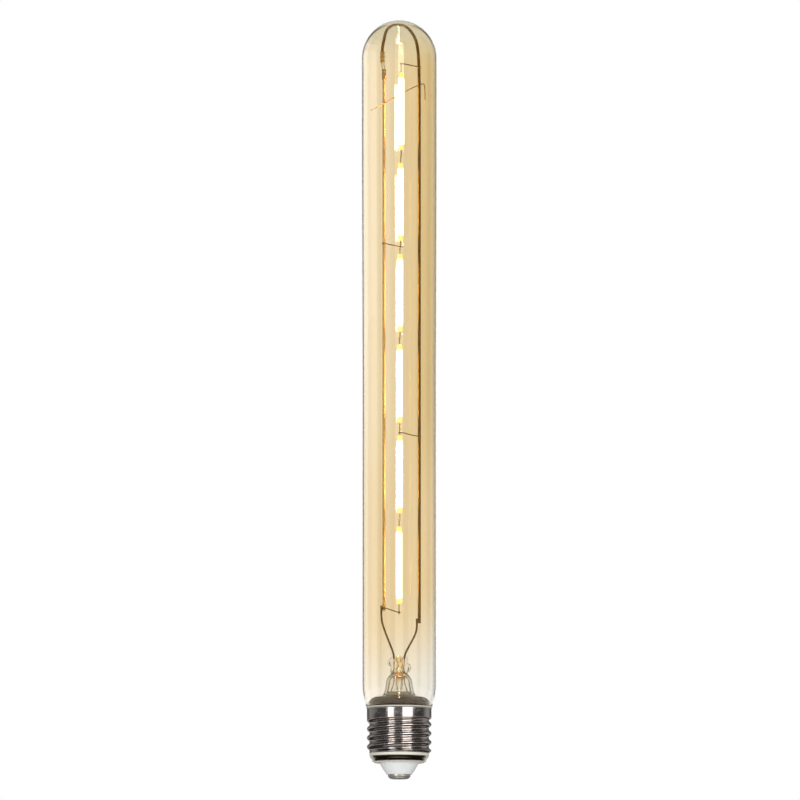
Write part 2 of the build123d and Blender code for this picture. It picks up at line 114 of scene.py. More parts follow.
# Glass tube
GLASS_WALL = 0.9
TUBE_R_TOP = 15.42
TUBE_R_LOW = 15.13
DOME_Z = 292.75
TAPER_TOP_Z = 250.0
TAPER_LOW_Z = 165.0
NECK_TOP_Z = 38.5
SHOULDER_MID = (14.72, 33.9)
SHOULDER_LOW = (13.7, 29.72)
NECK_MID = (12.65, 28.98)
NECK_START = (12.2, 27.7)
NECK_END_Z = 25.6

# Glass foot
FOOT_WALL = 0.9
FOOT_RIM_R = 11.29
FOOT_LINE = [
    (3.3, 42.6), (4.75, 40.9), (5.35, 38.6), (5.75, 36.4), (6.05, 35.0), (6.9, 33.9),
    (8.6, 33.3), (10.9, 32.7), (12.2, 31.3), (12.35, 30.5), (11.95, 29.7),
]
PRESS_SIZE = (7.6, 3.4)
PRESS_LOW_Z = 40.6
PRESS_TOP_Z = 49.8
PRESS_LUMPS = [
    (-3.0, 0, 47.2, 1.75), (2.8, 0, 45.0, 2.05), (0.9, 0, 42.4, 2.2), (-1.9, 0, 43.6, 1.8),
    (-0.2, -1.4, 48.5, 1.45), (0.5, -1.6, 46.0, 1.3), (-0.2, -1.6, 43.8, 1.35), (0.3, -1.9, 41.7, 1.3),
]
MELT_VOXEL = 0.2

# Filaments, with the places where the lit coat ends and where it turns to its side in metres
FILAMENT_COUNT = 6
DARK_END = 3.3
GLOW = 50.0
LIT_END = (0.0014, -0.0006)
COAT_EDGE = (0.00115, 0.0008)
LIT_COAT = (1.0, 0.87, 0.66)
LIT_COAT_SIDE = (0.21, 0.145, 0.06)
DIM_ENDS = ((0.013, 0.014, 0.0058), (0.017, 0.0185, 0.0075))
RESIN = ((0.85, 0.55, 0.12), (0.95, 0.68, 0.22))

# Wires and rods, along points of X, Y and Z, with their welds and ferrules
ROD_D = 1.2
LEAD_D = 0.8
SPRING_D = 0.42
BEAD_R = 0.42
WELD_PLACES = [
    (8.15, -0.75, 289.0), (0.8, -0.4, 290.45), (-6.2, -0.75, 217.25), (0.6, -0.4, 215.95),
    (8.15, -0.75, 138.85), (0.16, -0.4, 140.45), (-6.2, -0.75, 69.25), (-0.06, -0.4, 67.5),
    (-6.85, -0.25, 69.2), (7.5, -0.25, 63.9),
]
FERRULE_WALL = 0.3
FERRULE_ROUNDING = 0.12
CRIMP_COUNT = 2
CRIMP_DEPTH = 0.13
RIGHT_ROD_ROUTE = [
    (8.15, 0, 63.1), (8.15, 0, 150.0), (8.15, 0, 240.0), (8.15, 0, 280.0), (7.95, 0, 292.0), (7.3, 0, 298.8),
    (5.5, 0, 303.0), (2.6, 0, 306.0), (-0.3, 0, 306.7), (-3.4, 0, 306.2), (-5.4, 0, 303.9), (-6.1, 0, 300.6),
    (-6.8, 0, 297.3), (-6.8, 0, 294.6), (-6.8, 0, 291.6),
]
LEFT_LEAD_ROUTE = [
    (-2.1, 0, 48.6), (-2.1, 0, 50.4), (-3.6, 0, 54.3), (-6.7, 0, 62.2), (-7.22, 0, 65.6), (-7.22, 0, 67.8),
    (-7.22, 0, 70.3),
]
RIGHT_LEAD_ROUTE = [
    (2.1, 0, 48.6), (2.1, 0, 50.2), (4.0, 0, 53.8), (6.5, 0, 58.4), (7.13, 0, 61.0), (7.13, 0, 63.0),
    (7.13, 0, 65.0),
]
SPRING_ROUTE = [
    (-10.9, -9.0, 270.6), (-8.6, -4.6, 272.4), (-6.2, -1.0, 274.2), (-2.4, 1.35, 276.5), (4.0, 1.45, 280.2),
    (8.15, 0.85, 281.9), (9.9, 2.4, 282.7), (10.6, 6.0, 281.6), (10.75, 9.1, 276.6),
]

# Screw cap
THREAD_PITCH = 3.629
THREAD_CREST_R = 13.03
THREAD_ROOT_R = 12.0
THREAD_ARC_R = 1.025
THREAD_CREST_Z = 11.2
COLLAR_R = 13.05
COLLAR_LOW_Z = 24.9
COLLAR_TOP_Z = 28.2
RIM_R = 13.55
RIM_TOP_Z = 29.25
SHEET = 0.35
BORE_R = 11.65
CURL_TOP_Z = 10.0
CURL_R = 12.04
SHELL_END_Z = 6.5
SHELL_END_R = 9.5
SHELL_HOLE_R = 8.0

# Colours of the film on the glass, with painted light and shade, and of the stem's glass, with painted
# glints, with where each starts and is full in metres
GLASS_INDEX = 1.5
STEM_INDEX = 1.52
FILM = ((0.93, 0.812, 0.606), (0.905, 0.787, 0.565))
# The right and left colours are painted shade on the right side and painted light on the left side.
PAINTED_SHADE_RIGHT = (0.85, 0.725, 0.48)
PAINTED_LIGHT_LEFT = (0.945, 0.845, 0.655)
# The dome colour is painted shade that makes the dome greyer.
PAINTED_SHADE_DOME = (0.83, 0.78, 0.63)
FILM_NECK = (0.96, 0.94, 0.89)
FILM_EDGE = (0.84, 0.72, 0.52)
FILM_TO_LAMPS = (0.93, 0.86, 0.7)
UPPER_PART = (0.1, 0.16)
RIGHT_SIDE = (0.002, 0.013)
LEFT_SIDE = (0.001, -0.004)
DOME_PART = (0.288, 0.306)
NECK_PART = (0.075, 0.022)
NECK_SLANT = -0.6
STEM_LOW = (0.86, 0.85, 0.78)
STEM_HIGH = (0.95, 0.94, 0.88)
# The amber pair is painted glints of the filaments' light in the middle of the press.
STEM_PAINTED_GLINTS = ((0.98, 0.88, 0.6), (0.86, 0.55, 0.14))
STEM_EDGE = (0.26, 0.22, 0.1)
STEM_TO_LAMPS = (0.96, 0.95, 0.92)
STEM_RISE = (0.030, 0.040)
GLINT_HALF_WIDTH = (0.0022, 0.001)
GLINT_RISE = (0.039, 0.0425)

# Plating of the cap: its band of painted shade, and the zones that are rougher and carry a painted pale
# sheen, by height in metres
PLATING = ((0.75, 0.69, 0.66), (0.5, 0.44, 0.39))
# The dull colour is painted shade on a band of the turned-in end.
PLATING_PAINTED_SHADE = (0.16, 0.13, 0.1)
# The pale colour is a painted sheen on the rim, the curl and the turned-in end.
PLATING_PAINTED_SHEEN = (0.9, 0.87, 0.75)
PAINTED_SHADE_BAND = (0.0067, 0.0073, 0.0085, 0.0091)
CURL_SHEEN_BAND = (0.0091, 0.0094, 0.0102, 0.0106)
RIM_START = (0.0286, 0.0289)
END_START = (0.0074, 0.0068)
CURL_START = (0.0095, 0.0091)
SCRAPE_PLACE = (-0.0098, -0.0085, 0.0277)
SCRAPE_R = (0.0024, 0.001)
SHEEN_NON_METAL_SHARE = 0.7

# Finishes of the solids: the record's material slot, a name, two colours, the roughness and
# what else differs from the usual
METALS = [
    ("clip_metal", "Clip Steel", ((0.4, 0.33, 0.18), (0.3, 0.22, 0.1)), 0.3, {}),
    ("rod_metal", "Browned Rod", ((0.27, 0.155, 0.026), (0.15, 0.085, 0.014)), 0.34, {}),
    ("nickel_wire", "Nickel Wire", ((0.21, 0.135, 0.02), (0.12, 0.075, 0.01)), 0.3, {}),
    ("spring_wire", "Spring Wire", ((0.3, 0.17, 0.04), (0.2, 0.1, 0.025)), 0.35, {}),
    ("copper_wire", "Copper Wire", ((0.4, 0.24, 0.13), (0.26, 0.15, 0.08)), 0.3, {}),
    ("contact_metal", "Contact Metal", ((0.8, 0.78, 0.73), (0.5, 0.47, 0.42)), 0.3,
     {"scale": 420.0, "spread": 0.45, "metallic": 0.75}),
]
PLAIN_FINISHES = [
    ("carrier_strip", "Carrier Ceramic", ((0.85, 0.84, 0.8), (0.78, 0.77, 0.72)), 0.4, {}),
    ("white_insulator", "White Insulator", ((0.86, 0.87, 0.87), (0.8, 0.81, 0.82)), 0.25,
     {"scale": 160.0, "bump": 0.00002}),
    ("cement", "Cement", ((0.085, 0.052, 0.008), (0.042, 0.025, 0.003)), 0.75, {"scale": 500.0}),
    ("circuit_board", "Circuit Board", ((0.05, 0.2, 0.09), (0.04, 0.15, 0.07)), 0.4, {}),
    ("grey_sleeve", "Grey Sleeve", ((0.4, 0.41, 0.4), (0.32, 0.33, 0.32)), 0.5, {}),
    ("black_resin", "Black Resin", ((0.03, 0.03, 0.03), (0.05, 0.05, 0.05)), 0.5, {}),
    ("brown_resin", "Brown Resin", ((0.25, 0.12, 0.05), (0.2, 0.09, 0.04)), 0.4, {}),
    ("blue_resin", "Blue Resin", ((0.06, 0.15, 0.4), (0.05, 0.12, 0.32)), 0.35, {}),
    ("capacitor_can", "Capacitor Can", ((0.1, 0.1, 0.12), (0.14, 0.14, 0.15)), 0.35, {}),
    ("ferrite", "Ferrite", ((0.08, 0.075, 0.07), (0.11, 0.1, 0.09)), 0.6, {}),
]
LEFT_ROD = ("Copper Rod", ((0.7, 0.48, 0.2), (0.58, 0.38, 0.15)), 0.5)
LEFT_ROD_METALLIC = 0.55
FERRULES = ("Ferrule Brass", ((0.6, 0.37, 0.1), (0.32, 0.18, 0.035)), 0.25)


# Outlines


def arc_through(a, b, c, steps):
    """Points from a to just before c on the circle through a, b and c."""
    start, middle, end = complex(*a), complex(*b), complex(*c)
    ratio = (end - start) / (middle - start)
    centre = start + (middle - start) * (ratio - abs(ratio) ** 2) / (2j * ratio.imag)
    turn = cmath.phase((end - centre) / (start - centre))
    points = []
    for i in range(steps):
        point = centre + (start - centre) * cmath.exp(1j * turn * i / steps)
        points.append((point.real, point.imag))
    return points


def straight(a, b, steps=1):
    """Points from a to just before b on a straight line."""
    points = []
    for i in range(steps):
        share = i / steps
        points.append((a[0] + (b[0] - a[0]) * share, a[1] + (b[1] - a[1]) * share))
    return points


def arcs(points, steps):
    """Arcs through three points each, up to just before the last point."""
    found = []
    for i in range(0, len(points) - 2, 2):
        found += arc_through(points[i], points[i + 1], points[i + 2], steps)
    if len(points) % 2 == 0:
        found += straight(points[-2], points[-1], 2)
    return found


def moved_in(points, depth):
    """An outline moved into the glass by a depth, point by point along its normal."""
    moved = []
    for i, point in enumerate(points):
        a = points[max(0, i - 1)]
        b = points[min(len(points) - 1, i + 1)]
        along = Vector((b[0] - a[0], b[1] - a[1])).normalized()
        moved.append((point[0] + along.y * depth, point[1] - along.x * depth))
    return moved


# Pieces from meshes


def linked(name, mesh):
    piece = bpy.data.objects.new(name, mesh)
    bpy.context.scene.collection.objects.link(piece)
    return piece


def finished(shape, name, sharp=35):
    """The bmesh as a smooth piece with its faces outwards and its hard edges kept."""
    bmesh.ops.recalc_face_normals(shape, faces=shape.faces)
    mesh = bpy.data.meshes.new(name)
    shape.to_mesh(mesh)
    shape.free()
    mesh.shade_smooth()
    mesh.set_sharp_from_angle(angle=radians(sharp))
    return linked(name, mesh)


def turn_outline(shape, outline, columns, centre_x=0.0):
    """Adds a closed outline of radius and height, turned about an upright axis."""
    rings = []
    for radius, height in outline:
        count = columns if radius > 1e-6 else 1
        ring = []
        for i in range(count):
            angle = 2 * pi * i / columns
            place = Vector((centre_x + radius * cos(angle), radius * sin(angle), height))
            ring.append(shape.verts.new(place * MM))
        rings.append(ring)
    for ring, other in zip(rings, rings[1:] + rings[:1]):
        if len(ring) == len(other) == 1:
            continue
        for i in range(columns):
            j = (i + 1) % columns
            corners = [ring[i % len(ring)], ring[j % len(ring)], other[j % len(other)], other[i % len(other)]]
            shape.faces.new(list(dict.fromkeys(corners)))


def lathe(name, outline, columns, centre_x=0.0, sharp=35):
    shape = bmesh.new()
    turn_outline(shape, outline, columns, centre_x)
    return finished(shape, name, sharp)


def applied(piece, name):
    """The piece as its modifiers leave it, as a plain mesh under the given name."""
    evaluated = piece.evaluated_get(bpy.context.evaluated_depsgraph_get())
    mesh = bpy.data.meshes.new_from_object(evaluated)
    bpy.data.objects.remove(piece)
    return linked(name, mesh)


def dress(piece, material, slot, *nodes):
    """Gives a new piece its finish and its body, and hides the solids that it stands for."""
    piece.data.materials.clear()
    piece.data.materials.append(material)
    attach(piece, "root")
    if nodes:
        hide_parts(*nodes)


# Node trees


def connect(tree, value, socket):
    if isinstance(value, bpy.types.NodeSocket):
        tree.links.new(value, socket)
    else:
        socket.default_value = value


def calculate(tree, operation, *values):
    node = tree.nodes.new("ShaderNodeMath")
    node.operation = operation
    for value, socket in zip(values, node.inputs):
        connect(tree, value, socket)
    return node.outputs[0]


def eased(tree, value, low, high, out_low=0.0, out_high=1.0):
    """A smooth step of a value from low to high."""
    node = tree.nodes.new("ShaderNodeMapRange")
    node.interpolation_type = "SMOOTHSTEP"
    for name, number in (("Value", value), ("From Min", low), ("From Max", high), ("To Min", out_low),
                         ("To Max", out_high)):
        connect(tree, number, node.inputs[name])
    return node.outputs["Result"]


def mixed_colour(tree, share, first, second):
    node = tree.nodes.new("ShaderNodeMix")
    node.data_type = "RGBA"
    connect(tree, share, node.inputs["Factor"])
    connect(tree, first, node.inputs[6])
    connect(tree, second, node.inputs[7])
    return node.outputs[2]


def layered(tree, colour, *layers):
    """A colour with others laid over it in turn, each where its mask is 1."""
    for mask, laid in layers:
        colour = mixed_colour(tree, mask, colour, (*laid, 1))
    return colour


def zone(tree, value, bounds):
    """1 between the two middle bounds, easing to 0 at the outer two."""
    start, full, last, end = bounds
    return calculate(tree, "MULTIPLY", eased(tree, value, start, full), eased(tree, value, end, last))


def length_of(tree, vector):
    node = tree.nodes.new("ShaderNodeVectorMath")
    node.operation = "LENGTH"
    tree.links.new(vector, node.inputs[0])
    return node.outputs["Value"]


def edge_on(tree, low, high):
    """1 where the surface is seen edge on."""
    return eased(tree, tree.nodes.new("ShaderNodeLayerWeight").outputs["Facing"], low, high)


def parts_of(tree, vector):
    node = tree.nodes.new("ShaderNodeSeparateXYZ")
    tree.links.new(vector, node.inputs[0])
    return node.outputs


def object_place(tree, centre=(0, 0, 0), stretch=(1, 1, 1)):
    """Object coordinates in metres, centred on a place and stretched."""
    coordinates = tree.nodes.new("ShaderNodeTexCoord")
    mapping = tree.nodes.new("ShaderNodeMapping")
    mapping.inputs["Scale"].default_value = stretch
    mapping.inputs["Location"].default_value = [-c * s for c, s in zip(centre, stretch)]
    tree.links.new(coordinates.outputs["Object"], mapping.inputs["Vector"])
    return mapping.outputs["Vector"]


def noise(tree, vector, scale, detail=3.0):
    node = tree.nodes.new("ShaderNodeTexNoise")
    node.inputs["Scale"].default_value = scale
    node.inputs["Detail"].default_value = detail
    tree.links.new(vector, node.inputs["Vector"])
    return node.outputs["Fac"]


def new_group(name, kind, inputs, outputs):
    tree = bpy.data.node_groups.new(name, kind)
    for socket_name, socket_kind in inputs:
        tree.interface.new_socket(socket_name, in_out="INPUT", socket_type=socket_kind)
    for socket_name, socket_kind in outputs:
        tree.interface.new_socket(socket_name, in_out="OUTPUT", socket_type=socket_kind)
    return tree, tree.nodes.new("NodeGroupInput").outputs, tree.nodes.new("NodeGroupOutput").inputs


# Shared effects


def tarnish_group():
    """Cloudy tarnish between two colours, with a mask that is 1 where the surface is tarnished."""
    tree, given, wanted = new_group(
        "Tarnish", "ShaderNodeTree",
        [("Vector", "NodeSocketVector"), ("Scale", "NodeSocketFloat"), ("Spread", "NodeSocketFloat"),
         ("Clean", "NodeSocketColor"), ("Tarnished", "NodeSocketColor")],
        [("Color", "NodeSocketColor"), ("Mask", "NodeSocketFloat")])
    cloud = tree.nodes.new("ShaderNodeTexNoise")
    cloud.inputs["Detail"].default_value = 4.0
    cloud.inputs["Distortion"].default_value = 0.4
    tree.links.new(given["Vector"], cloud.inputs["Vector"])
    tree.links.new(given["Scale"], cloud.inputs["Scale"])
    start = calculate(tree, "SUBTRACT", 0.75, given["Spread"])
    mask = eased(tree, cloud.outputs["Fac"], start, 0.75)
    tree.links.new(mixed_colour(tree, mask, given["Clean"], given["Tarnished"]), wanted["Color"])
    tree.links.new(mask, wanted["Mask"])
    return tree


def scuff_group():
    """Fine handling marks: short scratches and small pits, as a height and a mask."""
    tree, given, wanted = new_group(
        "Scuffs", "ShaderNodeTree",
        [("Vector", "NodeSocketVector"), ("Scratch Scale", "NodeSocketFloat"),
         ("Pit Scale", "NodeSocketFloat")],
        [("Height", "NodeSocketFloat"), ("Mask", "NodeSocketFloat")])
    scratches = tree.nodes.new("ShaderNodeTexNoise")
    scratches.inputs["Detail"].default_value = 2.0
    scratches.inputs["Distortion"].default_value = 1.5
    pits = tree.nodes.new("ShaderNodeTexVoronoi")
    for node, scale in ((scratches, "Scratch Scale"), (pits, "Pit Scale")):
        tree.links.new(given["Vector"], node.inputs["Vector"])
        tree.links.new(given[scale], node.inputs["Scale"])
    lines = eased(tree, scratches.outputs["Fac"], 0.56, 0.7)
    dots = eased(tree, pits.outputs["Distance"], 0.22, 0.08)
    mask = calculate(tree, "MAXIMUM", lines, calculate(tree, "MULTIPLY", dots, 0.6))
    tree.links.new(calculate(tree, "SUBTRACT", 1.0, mask), wanted["Height"])
    tree.links.new(mask, wanted["Mask"])
    return tree


def place_group(tree, group, **values):
    """Puts a shared effect into a material and returns its outputs."""
    node = tree.nodes.new("ShaderNodeGroup")
    node.node_tree = group
    for name, value in values.items():
        connect(tree, value, node.inputs[name.replace("_", " ")])
    return node.outputs


def new_material(name):
    material = bpy.data.materials.new(name)
    material.use_nodes = True
    return material, material.node_tree, material.node_tree.nodes["Principled BSDF"]


def glassy(shader, index):
    """Sets the shader to clear glass of a refractive index."""
    shader.inputs["Roughness"].default_value = 0.0
    shader.inputs["IOR"].default_value = index
    shader.inputs["Transmission Weight"].default_value = 1.0


def bumped(tree, shader, height, distance, strength=0.3):
    bump = tree.nodes.new("ShaderNodeBump")
    bump.inputs["Strength"].default_value = strength
    bump.inputs["Distance"].default_value = distance
    tree.links.new(height, bump.inputs["Height"])
    tree.links.new(bump.outputs["Normal"], shader.inputs["Normal"])


def let_lamps_through(material, tree, shader, tint):
    """Lets light from lamps reach what is behind the glass, tinted once a face."""
    path = tree.nodes.new("ShaderNodeLightPath")
    clear = tree.nodes.new("ShaderNodeBsdfTransparent")
    clear.inputs["Color"].default_value = (*tint, 1)
    mix = tree.nodes.new("ShaderNodeMixShader")
    passing = calculate(tree, "MAXIMUM", path.outputs["Is Shadow Ray"], path.outputs["Is Diffuse Ray"])
    tree.links.new(passing, mix.inputs["Fac"])
    tree.links.new(shader.outputs["BSDF"], mix.inputs[1])
    tree.links.new(clear.outputs["BSDF"], mix.inputs[2])
    tree.links.new(mix.outputs["Shader"], tree.nodes["Material Output"].inputs["Surface"])


# Finishes


def amber_glass(tarnish):
    """Glass with a vapour-laid amber film and faint draw lines. Painted light makes the left side paler and
    painted shade makes the right side darker and the dome greyer. The film is missing at the neck and deeper
    where it is seen edge on."""
    material, tree, shader = new_material("Amber Glass")
    streaks = object_place(tree, stretch=(1, 1, 0.02))
    film = place_group(tree, tarnish, Vector=streaks, Scale=160.0, Spread=0.5,
                       Clean=(*FILM[0], 1), Tarnished=(*FILM[1], 1))
    place = parts_of(tree, object_place(tree))
    side, height = place["X"], place["Z"]
    upper = eased(tree, height, *UPPER_PART)
    # Painted shade on the right side and painted light on the left side, in the upper part of the tube.
    painted_shade_right = calculate(tree, "MULTIPLY", eased(tree, side, *RIGHT_SIDE), upper)
    painted_light_left = calculate(tree, "MULTIPLY", eased(tree, side, *LEFT_SIDE), upper)
    # Painted shade that makes the dome greyer.
    dome = eased(tree, height, *DOME_PART)
    neck = eased(tree, calculate(tree, "MULTIPLY_ADD", side, NECK_SLANT, height), *NECK_PART)
    colour = layered(tree, film["Color"], (painted_shade_right, PAINTED_SHADE_RIGHT), (painted_light_left, PAINTED_LIGHT_LEFT), (dome, PAINTED_SHADE_DOME),
                     (neck, FILM_NECK), (edge_on(tree, 0.7, 1.0), FILM_EDGE))
    tree.links.new(colour, shader.inputs["Base Color"])
    glassy(shader, GLASS_INDEX)
    bumped(tree, shader, noise(tree, streaks, 240.0), 0.00002, 0.05)
    let_lamps_through(material, tree, shader, FILM_TO_LAMPS)
    return material


def clear_glass():
    """Stem glass, slightly grey, with the ripples of glass pressed while soft, painted amber glints of the
    filaments' light down the middle of the press, and dark edges."""
    material, tree, shader = new_material("Stem Glass")
    place = object_place(tree)
    side, height = parts_of(tree, place)["X"], parts_of(tree, place)["Z"]
    clean = mixed_colour(tree, eased(tree, height, *STEM_RISE), (*STEM_LOW, 1), (*STEM_HIGH, 1))
    middle = eased(tree, calculate(tree, "ABSOLUTE", side), *GLINT_HALF_WIDTH)
    # Painted amber glints of the filaments' light, in spots down the middle of the press.
    painted_glints = calculate(tree, "MULTIPLY", middle, eased(tree, height, *GLINT_RISE))
    spots = eased(tree, noise(tree, object_place(tree, stretch=(1, 1, 0.7)), 520.0, 1.0), 0.42, 0.58)
    amber = mixed_colour(tree, spots, (*STEM_PAINTED_GLINTS[0], 1), (*STEM_PAINTED_GLINTS[1], 1))
    body = mixed_colour(tree, painted_glints, clean, amber)
    colour = layered(tree, body, (edge_on(tree, 0.35, 0.9), STEM_EDGE))
    tree.links.new(colour, shader.inputs["Base Color"])
    glassy(shader, STEM_INDEX)
    bumped(tree, shader, noise(tree, place, 420.0, 1.0), 0.0001, 0.25)
    let_lamps_through(material, tree, shader, STEM_TO_LAMPS)
    return material


def lit_phosphor(number, low, high):
    """A silicone coat with phosphor, lit by the chips under it, with unlit amber ends."""
    material, tree, shader = new_material(f"Lit Phosphor {number}")
    place = parts_of(tree, object_place(tree, centre=(low + high) / 2))
    grain = noise(tree, object_place(tree), 3000.0)
    half_lit = (high.z - low.z) / 2 - DARK_END * MM
    along = eased(tree, calculate(tree, "ABSOLUTE", place["Z"]), half_lit + LIT_END[0], half_lit + LIT_END[1])
    across = eased(tree, calculate(tree, "ABSOLUTE", place["X"]), *COAT_EDGE)
    body = mixed_colour(tree, across, (*LIT_COAT_SIDE, 1), (*LIT_COAT, 1))
    ends = mixed_colour(tree, grain, (*DIM_ENDS[0], 1), (*DIM_ENDS[1], 1))
    resin = mixed_colour(tree, grain, (*RESIN[0], 1), (*RESIN[1], 1))
    tree.links.new(mixed_colour(tree, along, ends, body), shader.inputs["Emission Color"])
    tree.links.new(resin, shader.inputs["Base Color"])
    shader.inputs["Emission Strength"].default_value = GLOW
    shader.inputs["Roughness"].default_value = 0.35
    bumped(tree, shader, grain, 0.00005)
    return material


def tarnished_metal(tarnish, scuffs, name, colours, roughness, scale=900.0, spread=0.35, metallic=1.0):
    """Drawn or stamped metal with cloudy tarnish, rougher where it is tarnished."""
    material, tree, shader = new_material(name)
    place = object_place(tree)
    skin = place_group(tree, tarnish, Vector=place, Scale=scale, Spread=spread,
                       Clean=(*colours[0], 1), Tarnished=(*colours[1], 1))
    marks = place_group(tree, scuffs, Vector=place, Scratch_Scale=scale * 2.5, Pit_Scale=scale * 1.5)
    tree.links.new(skin["Color"], shader.inputs["Base Color"])
    worn = calculate(tree, "MAXIMUM", skin["Mask"], marks["Mask"])
    tree.links.new(eased(tree, worn, 0.0, 1.0, roughness, roughness + 0.22), shader.inputs["Roughness"])
    shader.inputs["Metallic"].default_value = metallic
    bumped(tree, shader, marks["Height"], 0.00003)
    return material


def cap_plating(tarnish, scuffs):
    """Bright nickel with a few scuffs and a scraped spot on the collar. Its rim, its curl and its turned-in
    end are rougher and carry a painted pale sheen, with a band of painted shade between."""
    material, tree, shader = new_material("Nickel Plating")
    place = object_place(tree)
    height = parts_of(tree, place)["Z"]
    skin = place_group(tree, tarnish, Vector=place, Scale=260.0, Spread=0.3,
                       Clean=(*PLATING[0], 1), Tarnished=(*PLATING[1], 1))
    marks = place_group(tree, scuffs, Vector=object_place(tree, stretch=(1, 1, 2.5)),
                        Scratch_Scale=700.0, Pit_Scale=500.0)
    scraped = eased(tree, length_of(tree, object_place(tree, centre=SCRAPE_PLACE)), *SCRAPE_R)
    rough_spot = calculate(tree, "MULTIPLY", scraped, noise(tree, place, 2600.0))
    # Painted pale sheen, also rougher and less metallic: where the curl is seen edge on, on a band of the
    # curl, at the rim and at the turned-in end.
    curl = calculate(tree, "MULTIPLY", eased(tree, height, *CURL_START), edge_on(tree, 0.45, 0.75))
    matt_and_painted_sheen = zone(tree, height, CURL_SHEEN_BAND)
    for sheen_zone in (eased(tree, height, *RIM_START), eased(tree, height, *END_START), curl):
        matt_and_painted_sheen = calculate(tree, "MAXIMUM", matt_and_painted_sheen, sheen_zone)
    # The scraped spot is real wear; the other zones carry the painted pale sheen.
    scrape_and_painted_sheen = calculate(tree, "MAXIMUM", rough_spot, matt_and_painted_sheen)
    # Painted shade on a band of the turned-in end, then the painted pale sheen and the scraped spot.
    colour = layered(tree, skin["Color"], (zone(tree, height, PAINTED_SHADE_BAND), PLATING_PAINTED_SHADE),
                     (scrape_and_painted_sheen, PLATING_PAINTED_SHEEN))
    tree.links.new(colour, shader.inputs["Base Color"])
    worn = calculate(tree, "MAXIMUM", calculate(tree, "MULTIPLY", marks["Mask"], 0.35), scrape_and_painted_sheen)
    tree.links.new(eased(tree, worn, 0.0, 1.0, 0.11, 0.6), shader.inputs["Roughness"])
    tree.links.new(calculate(tree, "MULTIPLY_ADD", matt_and_painted_sheen, -SHEEN_NON_METAL_SHARE, 1.0), shader.inputs["Metallic"])
    relief = calculate(tree, "ADD", marks["Height"], calculate(tree, "MULTIPLY", rough_spot, 4.0))
    bumped(tree, shader, relief, 0.00004, 0.25)
    return material


def matt_finish(tarnish, name, colours, roughness, scale=600.0, bump=0.00004):
    """Ceramic, resin, cement or board with small variation in colour and a fine grain."""
    material, tree, shader = new_material(name)
    place = object_place(tree)
    skin = place_group(tree, tarnish, Vector=place, Scale=scale, Spread=0.5,
                       Clean=(*colours[0], 1), Tarnished=(*colours[1], 1))
    tree.links.new(skin["Color"], shader.inputs["Base Color"])
    shader.inputs["Roughness"].default_value = roughness
    bumped(tree, shader, noise(tree, place, scale * 3), bump)
    return material


# Glass pieces


def tube_outline():
    """The tube's wall as one closed outline, down its outer face and up its inner one."""
    def face(wall):
        radius = TUBE_R_TOP - wall
        middle = (radius * sin(pi / 4), DOME_Z + radius * cos(pi / 4))
        mid = (SHOULDER_MID[0] - wall, SHOULDER_MID[1] + wall * 0.1)
        low = (SHOULDER_LOW[0] - wall, SHOULDER_LOW[1] + wall * 0.5)
        turn = (NECK_MID[0] - wall * 0.85, NECK_MID[1] + wall * 0.35)
        start = (NECK_START[0] - wall, NECK_START[1])
        foot = (TUBE_R_LOW - wall, NECK_TOP_Z)
        return [
            *arc_through((0, DOME_Z + radius), middle, (radius, DOME_Z), 28),
            *straight((radius, DOME_Z), (radius, TAPER_TOP_Z), 6),
            *straight((radius, TAPER_TOP_Z), (TUBE_R_LOW - wall, TAPER_LOW_Z), 10),
            *straight((TUBE_R_LOW - wall, TAPER_LOW_Z), foot, 14),
            *arc_through(foot, mid, low, 12), *arc_through(low, turn, start, 8),
            start, (start[0], NECK_END_Z),
        ]
    return face(0) + face(GLASS_WALL)[::-1]


def glass_tube(material):
    piece = lathe("amber_glass_tube", tube_outline(), 256, sharp=60)
    dress(piece, material, "amber_glass", "glass_envelope")


def stem(material):
    """The foot with its press, melted into one lumpy body by a fine remesh."""
    under = moved_in(FOOT_LINE, FOOT_WALL)
    outline = [
        *arcs(FOOT_LINE, 6), FOOT_LINE[-1], (FOOT_RIM_R, 27.6), (FOOT_RIM_R, NECK_END_Z),
        (FOOT_RIM_R - FOOT_WALL, NECK_END_Z), (FOOT_RIM_R - FOOT_WALL, 27.6), under[-1],
        *arcs(under, 6)[::-1], (0, 41.9), (0, 43.4),
    ]
    shape = bmesh.new()
    turn_outline(shape, outline, 96)
    press_height = PRESS_TOP_Z - PRESS_LOW_Z
    for x, y, z, radius in PRESS_LUMPS:
        lump = bmesh.ops.create_icosphere(shape, subdivisions=3, radius=radius * MM)
        bmesh.ops.translate(shape, verts=lump["verts"], vec=Vector((x, y, z)) * MM)
    press = bmesh.ops.create_cube(shape, size=MM)["verts"]
    bmesh.ops.scale(shape, verts=press, vec=(PRESS_SIZE[0] - 1, PRESS_SIZE[1] - 0.6, press_height - 0.6))
    bmesh.ops.translate(shape, verts=press, vec=Vector((0, 0, (PRESS_LOW_Z + PRESS_TOP_Z) / 2)) * MM)
    rough = finished(shape, "stem_rough")
    melt = rough.modifiers.new("Melt", "REMESH")
    melt.mode = "VOXEL"
    melt.voxel_size = MELT_VOXEL * MM
    smooth = rough.modifiers.new("Smooth", "SMOOTH")
    smooth.factor = 0.5
    smooth.iterations = 8
    piece = applied(rough, "stem_glass")
    piece.data.shade_smooth()
    dress(piece, material, "clear_glass", "stem_flare")


# Screw cap


